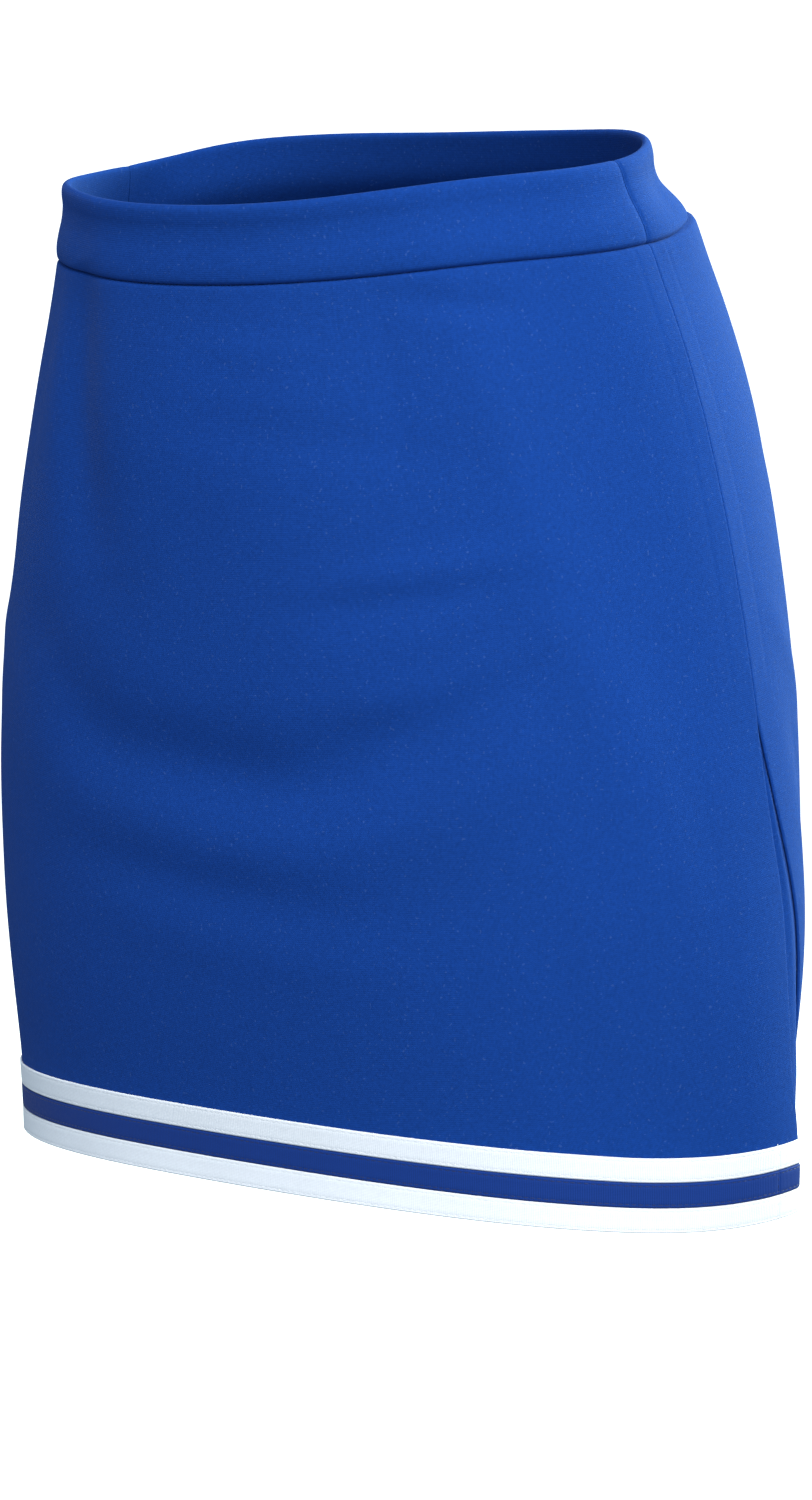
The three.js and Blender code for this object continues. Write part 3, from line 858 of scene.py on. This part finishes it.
# %% Strips of braid
BRAID_TRIM = 0.15  # half the gap between two rows
BRAID_LIFT = 0.15  # gap between the tape and the cloth
STITCH_IN = 1.2  # stitch line from the edge of the tape
CATCH_IN = 14.0  # stitch line across the tape, from the pleat edge
BRAID_ROUND, BRAID_END = 150, 35  # how far round the fold it goes at the pleat and at the seam, degrees
BRAID_ROWS = [("upper", "white"), ("middle", "blue"), ("hem", "white")]
FINISH = {"white": white_braid, "blue": blue_braid}
across_tape = np.array([0, 0.12, 0.3, 0.55, 0.9, 1.2, 1.5, 2.0, 3.0, 4.1, 5.0])
across_tape = np.concatenate([across_tape, BRAID_ROW_HEIGHT - across_tape[-2::-1]])


def tape_thickness(from_edge):
    rounded = 1 - 0.6 * bell(from_edge, 0.3)
    return BRAID_THICK * (rounded - 0.2 * bell(from_edge - STITCH_IN, 0.35))


def strip_heights(row):
    """Heights above the hem of a row of tape, and its thickness there."""
    low = 0 if row == 2 else BRAID_TRIM
    top = BRAID_TOTAL - BRAID_ROW_HEIGHT * row - BRAID_TRIM
    bottom = BRAID_TOTAL - BRAID_ROW_HEIGHT * (row + 1) + low
    heights = mix(top, bottom, across_tape / BRAID_ROW_HEIGHT)
    from_edge = np.minimum(across_tape, BRAID_ROW_HEIGHT - across_tape)
    return heights, tape_thickness(from_edge)[:, None]


def edge_caught(distance):
    """The line of stitches across the tape near the pleat draws it in."""
    return -0.3 * bell(distance - CATCH_IN, 0.55)


def braid_grid(side, row):
    """Face points, directions out, thickness, and the column of the stitches across the tape."""
    heights, thick = strip_heights(row)
    caught = None
    if side == "pleat":
        points, out = underlay_grid(above_hem(heights, 90.0))
        thick = np.broadcast_to(thick, points.shape[:2])
    else:
        round_to = (BRAID_END, BRAID_ROUND) if side == "front" else (BRAID_ROUND, BRAID_END)
        points, out, _, near, far = panel_grid(side, strip_rows(heights), 0.0, round_to, turned=False)
        from_pleat = far if side == "front" else near
        thick = np.broadcast_to(thick, points.shape[:2]) + edge_caught(from_pleat)
        caught = int(np.abs(from_pleat[5] - CATCH_IN).argmin())
    return points + out * (BRAID_LIFT + thick)[..., None], out, thick, caught


braids = {}
for side in ("front", "back", "pleat"):
    for row, (name, colour) in enumerate(BRAID_ROWS):
        points, out, thick, _ = braid_grid(side, row)
        braids[name, side] = cloth_wall(
            f"braid_{name}_{side}", points, out, thick, points.shape[1] // 2, FINISH[colour]
        )
        print(f"  tape, {flat_size(points)[0] * 1000:.0f} mm long")

# %% [markdown]
# ## Waistband
#
# The band is a folded strip with flat elastic inside, cut in two and joined at the side seams. It
# has no ends of elastic to see, only its section: a rolled top edge, a soft swell on the outside and
# a tight ditch where it is sewn to the panels. A Bevel on a box would give a band too even, so the
# section is drawn and swept round the waist. At the side seams it is drawn in to a crease, and behind
# them the elastic pulls it hollow between its edges.

# %% The waistband
BAND_SECTION = [  # share of the band's height, distance out of the form
    (0.00, -0.8), (0.025, 0.2), (0.08, 0.8), (0.19, 1.15), (0.34, 0.85), (0.52, 0.1), (0.7, 0.0),
    (0.83, 0.6), (0.935, 0.55), (0.985, -0.4), (1.0, -1.5), (0.99, -2.5), (0.94, -3.1), (0.8, -3.3),
    (0.5, -3.3), (0.2, -3.2), (0.05, -3.0), (0.0, -2.7), (-0.01, -1.8),
]
BAND_COLUMNS = 230
BAND_CROWDING = 0.93  # nearer to 1, its columns crowd more towards the side seams
BAND_HALF = 90 - 0.05  # degrees from the middle of one half to its end
BAND_OUTSIDE = -1.6  # what lies further out than this shows
BAND_HOLLOW = 5  # the elastic draws the band in between its edges at the back
MM_PER_TURN_AT_WAIST = 2.1


def band_grid(centre):
    """Points of one half of the band: rows round its section, columns round the waist."""
    section = np.array(BAND_SECTION)
    section = through(np.concatenate([section, section[:1]]), 4)[:-1]
    spread = np.linspace(-np.pi / 2, np.pi / 2, BAND_COLUMNS) * BAND_CROWDING
    places = np.sin(spread) / np.sin(np.pi / 2 * BAND_CROWDING)
    turn = (centre + BAND_HALF * places)[None, :]
    share = BAND_SHARE * (1 - section[:, :1]) + 0 * turn
    turn = turn + 0 * share
    hollow = -BAND_HOLLOW * at_back(turn) * bell(share - BAND_SHARE / 2, BAND_SHARE / 2.5)
    outer = section[:, 1:] > BAND_OUTSIDE
    from_seam = (BAND_HALF - np.abs(turn - centre)) * MM_PER_TURN_AT_WAIST
    crease = -(0.5 * bell(from_seam, 1.1) + 0.3 * bell(from_seam, 5)) * outer
    u = turn * MM_PER_TURN_AT_WAIST
    gather = 0.03 * np.sin(u / 1.35) * np.sin(u / 8.3 + 1) + 0.1 * np.sin(u / 11 + share * 30)
    lift = hollow + crease + np.where(outer, gather, 0) + section[:, 1:]
    return cloth_point(share, turn, lift)[0]


def closed_band(name, points, material):
    """Joins the rows of a swept section into a ring and closes both of its ends."""
    rows, columns = points.shape[:2]
    grid = np.arange(rows * columns).reshape(rows, columns)
    below = np.roll(grid, -1, axis=0)
    sides = np.stack([grid[:, :-1], grid[:, 1:], below[:, 1:], below[:, :-1]], -1).reshape(-1, 4)
    ends = [grid[:, 0].tolist(), grid[::-1, -1].tolist()]
    upward = [1, -1]  # its rows run up the outside, and a panel's run down
    uv = measured_map(points, columns // 2).reshape(-1, 2) * upward
    print(f"{name}: {rows} x {columns} points")
    return new_piece(name, points.reshape(-1, 3), sides.tolist() + ends, uv, material, 60)


bands = {}
for side, centre in (("front", 0), ("back", 180)):
    points = band_grid(centre)
    bands[side] = closed_band(f"waistband_{side}", points, knit)
    cuts["band", side] = flat_size(points)
    print(side, "band cut (m, m, m2):", [round(x, 4) for x in cuts["band", side]])


# %% Do their faces look outwards?
def signed_volume(piece):
    """Volume in cubic metres, below zero where a piece is inside out."""
    mesh = piece.data
    mesh.calc_loop_triangles()
    total = 0.0
    for triangle in mesh.loop_triangles:
        a, b, c = (mesh.vertices[i].co for i in triangle.vertices)
        total += a.dot(b.cross(c))
    return total / 6


pieces = [*panels.values(), underlay, *braids.values(), *bands.values()]
for piece in pieces:
    print(f"{piece.name}: {signed_volume(piece) * 1e6:.1f} cm3")

# %% [markdown]
# ## Stitches
#
# The braid is sewn down by machine, one straight line near each of its edges. Thousands of equal
# stitches along a line are work for Geometry Nodes. The line is cut into equal steps, one small
# rounded stitch is set on each, turned along the line and laid flat on the cloth, and each has a
# slightly different length. The pitch, length and thickness are inputs, so the same tree does the
# white and the blue thread.

# %% The stitch tree
STITCH = {  # in metres
    "Pitch": 0.0026,
    "Stitch length": 0.0021,
    "Thread width": 0.00021,
    "Thread height": 0.00016,
}
SHORTEST, LONGEST = 0.88, 1.06  # shares of the stitch length
STITCH_SIDES, STITCH_RINGS = 6, 5


def stitch_tree():
    tree = bpy.data.node_groups.new("stitch_line", "GeometryNodeTree")
    sockets = tree.interface
    sockets.new_socket(name="Line", in_out="INPUT", socket_type="NodeSocketGeometry")
    for name in STITCH:
        sockets.new_socket(name=name, in_out="INPUT", socket_type="NodeSocketFloat")
    sockets.new_socket(name="Seed", in_out="INPUT", socket_type="NodeSocketInt")
    sockets.new_socket(name="Thread", in_out="INPUT", socket_type="NodeSocketMaterial")
    sockets.new_socket(name="Stitches", in_out="OUTPUT", socket_type="NodeSocketGeometry")
    given = tree.nodes.new("NodeGroupInput").outputs
    curve = node(tree, "GeometryNodeMeshToCurve", {"Mesh": given["Line"]}).outputs[0]
    cut_by = {"Curve": curve, "Length": given["Pitch"]}
    steps = node(tree, "GeometryNodeResampleCurve", cut_by, mode="LENGTH")
    uneven = node(tree, "FunctionNodeRandomValue", {"Seed": given["Seed"]}, data_type="FLOAT")
    uneven.inputs[2].default_value = SHORTEST
    uneven.inputs[3].default_value = LONGEST
    half = calc(tree, "MULTIPLY", calc(tree, "MULTIPLY", given["Stitch length"], 0.5), uneven.outputs[1])
    sizes = {"X": half, "Y": given["Thread width"], "Z": given["Thread height"]}
    size = node(tree, "ShaderNodeCombineXYZ", sizes)
    round_shape = {"Segments": STITCH_SIDES, "Rings": STITCH_RINGS, "Radius": 1.0}
    ball = node(tree, "GeometryNodeMeshUVSphere", round_shape).outputs["Mesh"]
    laid = node(tree, "GeometryNodeTransform", {"Geometry": ball, "Rotation": (0, math.pi / 2, 0)})
    tangent = tree.nodes.new("GeometryNodeInputTangent").outputs[0]
    outward = node(tree, "GeometryNodeInputNamedAttribute", {"Name": "outward"}, data_type="FLOAT_VECTOR")
    along = node(tree, "FunctionNodeAlignRotationToVector", {"Vector": tangent}, axis="X")
    flat = node(
        tree,
        "FunctionNodeAlignRotationToVector",
        {"Rotation": along.outputs[0], "Vector": outward.outputs["Attribute"]},
        axis="Z",
        pivot_axis="X",
    )
    placed = node(tree, "GeometryNodeInstanceOnPoints", {
        "Points": steps.outputs[0], "Instance": laid.outputs[0],
        "Rotation": flat.outputs[0], "Scale": size.outputs[0],
    })
    real = node(tree, "GeometryNodeRealizeInstances", {"Geometry": placed.outputs[0]})
    soft = node(tree, "GeometryNodeSetShadeSmooth", {"Geometry": real.outputs[0]})
    finish = {"Geometry": soft.outputs[0], "Material": given["Thread"]}
    painted = node(tree, "GeometryNodeSetMaterial", finish)
    node(tree, "NodeGroupOutput", {"Stitches": painted.outputs[0]})
    return tree


stitches = stitch_tree()
print("stitch tree:", len(stitches.nodes), "nodes")


# %% Lay the stitch lines
def stitch_lines(colour):
    """Every line of one colour as (points, outward directions), taken from the braid's own face."""
    lines = []
    for side in ("front", "back", "pleat"):
        for row, (_, its_colour) in enumerate(BRAID_ROWS):
            if its_colour != colour:
                continue
            points, out, _, caught = braid_grid(side, row)
            for along in (STITCH_IN, BRAID_ROW_HEIGHT - STITCH_IN):
                k = int(np.abs(across_tape - along).argmin())
                lines.append((points[k], out[k]))
            if caught is not None:
                lines.append((points[1:-1, caught], out[1:-1, caught]))
    return lines


def sew(name, colour, material, seed):
    """Runs the tree over every line of one colour and keeps the stitches that it makes."""
    verts, edges, outward = [], [], []
    for points, out in stitch_lines(colour):
        start = len(verts)
        verts += (points * MM).tolist()
        outward += out.tolist()
        edges += [(start + i, start + i + 1) for i in range(len(points) - 1)]
    mesh = bpy.data.meshes.new(name)
    mesh.from_pydata(verts, edges, [])
    layer = mesh.attributes.new("outward", "FLOAT_VECTOR", "POINT")
    layer.data.foreach_set("vector", np.array(outward, np.float32).ravel())
    piece = bpy.data.objects.new(name, mesh)
    bpy.context.scene.collection.objects.link(piece)
    modifier = piece.modifiers.new("stitches", "NODES")
    modifier.node_group = stitches
    values = {**STITCH, "Seed": seed, "Thread": material}
    for socket in stitches.interface.items_tree:
        if socket.in_out == "INPUT" and socket.name in values:
            modifier[socket.identifier] = values[socket.name]
    made = piece.evaluated_get(bpy.context.evaluated_depsgraph_get())
    sewn = bpy.data.meshes.new_from_object(made)
    piece.modifiers.clear()
    piece.data = sewn
    sewn.name = name
    count = len(sewn.polygons) // (STITCH_SIDES * STITCH_RINGS)
    print(f"{name}: {len(sewn.polygons)} faces, {count} stitches")
    return piece


threads = {
    "white": sew("stitches_white", "white", thread_white, 7),
    "blue": sew("stitches_blue", "blue", thread_blue, 11),
}

# %% [markdown]
# ## Fitting the pieces to the model
#
# Each fine piece stands for one plain solid of the imported model, which is hidden, and rides with its
# body.
# The size each cloth piece was cut to is measured along the cloth and not across the worn shape. The band
# is a strip folded over its elastic, and what shows of it is half of the way round its section.


for piece in pieces:
    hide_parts(piece.name.removeprefix("sewn_"))
    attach(piece, "root")
for colour, piece in threads.items():
    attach(piece, "root")
print(len(pieces), "pieces replace", len(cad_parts), "nodes")

for side, piece in panels.items():
    with_pieces = [braids[name, side] for name, _ in BRAID_ROWS]
    if side == "front":
        with_pieces += list(threads.values())

# %% [markdown]
# ## The studio
#
# A plain pale floor lies below the skirt and curves up into a wall all round. A plane and a wall
# would show a corner, so one profile is turned round a full circle. The floor is only seen, and
# throws no light back, because white light from below would flatten the folds.

# %% The floor
FLOOR_PROFILE = [  # radius and height, in metres
    (1.5, -1.0), (4.0, -1.0), (5.4, -0.9), (6.3, -0.5), (6.9, 0.2), (7.2, 1.4), (7.2, 6.0),
]
FLOOR_SIDES = 72


def sweep_mesh():
    """A floor that curves up into a wall on every side."""
    verts, faces = [(0, 0, FLOOR_PROFILE[0][1])], []
    for radius, height in FLOOR_PROFILE:
        for k in range(FLOOR_SIDES):
            angle = 2 * math.pi * k / FLOOR_SIDES
            verts.append((radius * math.cos(angle), radius * math.sin(angle), height))
    for k in range(FLOOR_SIDES):
        faces.append((0, 1 + k, 1 + (k + 1) % FLOOR_SIDES))
    for ring in range(len(FLOOR_PROFILE) - 1):
        low, high = 1 + ring * FLOOR_SIDES, 1 + (ring + 1) * FLOOR_SIDES
        for k in range(FLOOR_SIDES):
            j = (k + 1) % FLOOR_SIDES
            faces.append((low + k, high + k, high + j, low + j))
    mesh = bpy.data.meshes.new("floor")
    mesh.from_pydata(verts, [], faces)
    mesh.update()
    mesh.shade_smooth()
    return mesh


paper, tree, shader = new_material(
    "floor_paper",
    Roughness=0.9,
    Specular_IOR_Level=0.1,
    Emission_Strength=0.62,
    Emission_Color=(1, 1, 1, 1),
)
grain = speckle(tree, node(tree, "ShaderNodeTexCoord").outputs["Object"], 0.4, 2)
pale = blend_colour(tree, "MIX", grain, (0.90, 0.905, 0.91, 1), (0.93, 0.93, 0.93, 1))
tree.links.new(pale, shader.inputs["Base Color"])
floor = bpy.data.objects.new("floor", sweep_mesh())
floor.data.materials.append(paper)
for ray in ("diffuse", "glossy", "transmission", "shadow"):
    setattr(floor, "visible_" + ray, False)
bpy.context.scene.collection.objects.link(floor)
print("floor:", len(floor.data.polygons), "faces")

# %% [markdown]
# The room's own light is soft and a little blue. It is brighter above, in front and on the wearer's
# left. A picture of a real room could give that light, but a ramp along one direction is easier to
# read and to change.

# %% The room
BRIGHT_WAY = (0.36, -0.28, 0.58)
ROOM_DIM, ROOM_BRIGHT = 0.25, 0.9
world = bpy.data.worlds.new("studio")
world.use_nodes = True
room = world.node_tree
way = node(room, "ShaderNodeTexCoord").outputs["Generated"]
measure = node(room, "ShaderNodeVectorMath", {0: way, 1: BRIGHT_WAY}, operation="DOT_PRODUCT")
toward = measure.outputs["Value"]
level = ranged(room, toward, -1, 1, ROOM_DIM, ROOM_BRIGHT)
room.links.new(level, room.nodes["Background"].inputs["Strength"])
room.nodes["Background"].inputs["Color"].default_value = (0.78, 0.92, 1, 1)
bpy.context.scene.world = world
bpy.context.scene.view_settings.view_transform = "Standard"
bpy.context.scene.view_settings.look = "None"
print("room: strength", ROOM_DIM, "at its dimmest and", ROOM_BRIGHT, "at its brightest")

# %% [markdown]
# Three square lights model the skirt. The strongest stands behind it, a little to the wearer's left,
# and picks out the round of the hip. A weak one on the wearer's left carries its light forward over
# the side seam, and one high in front models the belly. Points of light would throw hard shadows, so
# each is a wide soft one.

# %% The lights
def softbox(name, azimuth, elevation, distance, size, power, colour):
    """A square light aimed at the skirt. Azimuth 0 is in front, 90 on the wearer's left."""
    a, e = math.radians(azimuth), math.radians(elevation)
    way = Vector((math.sin(a) * math.cos(e), -math.cos(a) * math.cos(e), math.sin(e)))
    data = bpy.data.lights.new(name, "AREA")
    data.shape, data.size, data.energy = "SQUARE", size, power
    data.color = colour
    light = bpy.data.objects.new(name, data)
    light.visible_camera = False
    light.location = Vector((0, 0, -0.2)) + way * distance
    light.rotation_euler = way.to_track_quat("Z", "Y").to_euler()
    bpy.context.scene.collection.objects.link(light)
    return light


softbox("key", 166, 20, 2.6, 1.4, 190, (0.84, 1, 0.76))
softbox("side", 68, 15, 2.6, 1.4, 27, (1, 0.93, 0.76))
softbox("front", 44, 46, 2.6, 1.0, 56, (1, 0.97, 0.93))

# %% [markdown]
# The camera looks at the front from the wearer's left and from a little above the waist. Its lens is
# long, so the skirt keeps its true proportions, and it is rolled by about a degree. A Track To
# constraint could aim it, but it has no roll, so the camera's axes are worked out here.

# %% The camera
CAMERA_AT = Vector((1.0722, -1.3731, 0.0387))
CAMERA_AIM = Vector((0.01066, 0.00832, -0.2249))
CAMERA_ROLL = math.radians(-1.333)
camera_data = bpy.data.cameras.new("camera")
camera_data.lens = 103.27
camera_data.sensor_width = 36
camera = bpy.data.objects.new("camera", camera_data)
forward = (CAMERA_AIM - CAMERA_AT).normalized()
right = forward.cross(Vector((0, 0, 1))).normalized()
above = right.cross(forward)
across = right * math.cos(CAMERA_ROLL) + above * math.sin(CAMERA_ROLL)
above = above * math.cos(CAMERA_ROLL) - right * math.sin(CAMERA_ROLL)
facing = Matrix((across, above, -forward)).transposed().to_4x4()
camera.matrix_world = Matrix.Translation(CAMERA_AT) @ facing
bpy.context.scene.collection.objects.link(camera)
bpy.context.scene.camera = camera
print(f"camera: {(CAMERA_AIM - CAMERA_AT).length:.2f} m away, lens {camera_data.lens:.1f} mm")

# %% The end
bpy.context.view_layer.update()
